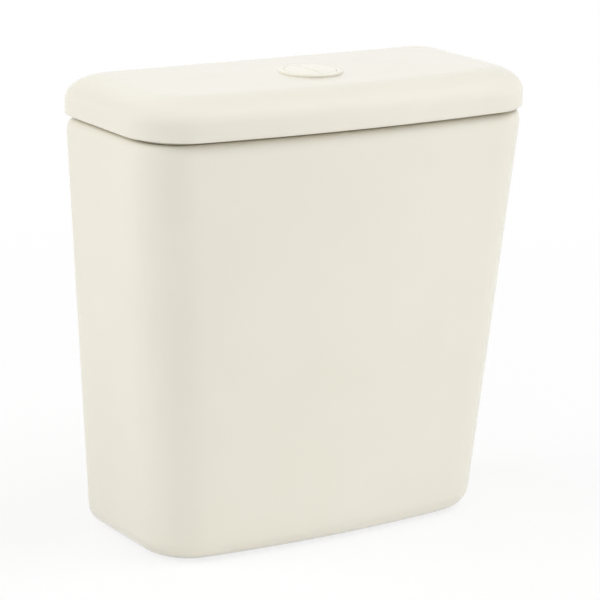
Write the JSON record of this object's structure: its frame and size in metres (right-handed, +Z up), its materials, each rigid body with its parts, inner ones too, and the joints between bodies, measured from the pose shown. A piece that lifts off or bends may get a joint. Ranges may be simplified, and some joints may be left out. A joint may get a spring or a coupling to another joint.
{
  "type": "toilet cistern",
  "caption": "Glazed ceramic close-coupled toilet cistern with lift-off lid, dual-flush push button, lever-lifted flush valve and bottom-entry float fill valve.",
  "frame": {"origin": "middle of the footprint, on the plane that the foot stands on", "axes": "+X to the right seen from the front, +Y towards the wall, +Z up"},
  "size_m": [0.3816, 0.1714, 0.3929],
  "materials": {
    "glaze": "glossy cream glaze",
    "button_cream": "cream, moulded gloss",
    "white_plastic": "white, moulded satin",
    "grey_plastic": "grey, moulded satin",
    "blue_plastic": "blue, moulded satin",
    "green_plastic": "green, moulded satin",
    "rubber": "black, moulded",
    "steel": "bright drawn"
  },
  "bodies": {
    "tank": {"tank": "glaze", "flush_valve_base": "white_plastic", "flush_washer": "rubber", "flush_backnut": "white_plastic", "coupling_gasket": "rubber", "valve_cage": "white_plastic", "lever_pin": "steel", "fill_valve_shank": "white_plastic", "inlet_washer": "rubber", "inlet_backnut": "white_plastic", "inlet_filter": "grey_plastic", "height_lock_nut": "grey_plastic", "fill_valve_body": "white_plastic", "diaphragm": "rubber", "fill_valve_cap": "grey_plastic", "arm_pin": "steel"},
    "lid": {"lid": "glaze", "button_bezel": "button_cream", "button_washer": "rubber", "button_nut": "white_plastic", "full_button_spring": "steel", "half_button_spring": "steel"},
    "full_button": {"full_flush_button": "button_cream", "full_push_rod": "white_plastic"},
    "half_button": {"half_flush_button": "button_cream", "half_push_rod": "white_plastic"},
    "full_lever": {"full_flush_lever": "blue_plastic"},
    "half_lever": {"half_flush_lever": "green_plastic"},
    "spindle": {"overflow_tube": "white_plastic", "lift_yoke": "blue_plastic", "seat_seal": "rubber", "seal_retainer": "grey_plastic", "full_flush_float": "blue_plastic"},
    "half_trip": {"half_flush_rod": "green_plastic", "half_flush_float": "green_plastic"},
    "fill_arm": {"float_arm": "grey_plastic"},
    "fill_cup": {"fill_float": "blue_plastic", "float_adjuster": "white_plastic"}
  },
  "joints": [
    {"name": "lid_lift", "type": "slide", "parent": "tank", "child": "lid", "axis": [0, 0, 1], "range_m": [0, 0.12]},
    {"name": "full_press", "type": "slide", "parent": "lid", "child": "full_button", "axis": [0, 0, 1], "range_m": [-0.007, 0], "stiffness_N_per_m": 250, "springref_m": 0.01, "deforming": ["full_button_spring"]},
    {"name": "half_press", "type": "slide", "parent": "lid", "child": "half_button", "axis": [0, 0, 1], "range_m": [-0.007, 0], "stiffness_N_per_m": 250, "springref_m": 0.01, "deforming": ["half_button_spring"]},
    {"name": "full_lever_turn", "type": "hinge", "parent": "tank", "child": "full_lever", "pos_m": [0.01, -0.002, 0.282], "axis": [1, 0, 0], "range_deg": [0, 35.8]},
    {"name": "valve_lift", "type": "slide", "parent": "tank", "child": "spindle", "axis": [0, 0, 1], "range_m": [0, 0.0124]},
    {"name": "half_lever_turn", "type": "hinge", "parent": "tank", "child": "half_lever", "pos_m": [-0.01, -0.002, 0.282], "axis": [1, 0, 0], "range_deg": [0, 35.8]},
    {"name": "half_trip_lift", "type": "slide", "parent": "tank", "child": "half_trip", "axis": [0, 0, 1], "range_m": [0, 0.0124]},
    {"name": "fill_float_rise", "type": "slide", "parent": "tank", "child": "fill_cup", "axis": [0, 0, 1], "range_m": [0, 0.0145]},
    {"name": "float_arm_turn", "type": "hinge", "parent": "tank", "child": "fill_arm", "pos_m": [0.11, 0.0125, 0.2765], "axis": [-1, 0, 0], "range_deg": [0, 20.1]}
  ],
  "couplings": [
    {"joint": "full_lever_turn", "follows": "full_press", "rad_per_m": -88.975},
    {"joint": "valve_lift", "follows": "full_press", "ratio": -1.757},
    {"joint": "half_lever_turn", "follows": "half_press", "rad_per_m": -88.975},
    {"joint": "half_trip_lift", "follows": "half_press", "ratio": -1.757},
    {"joint": "float_arm_turn", "follows": "fill_float_rise", "rad_per_m": 24.073}
  ]
}
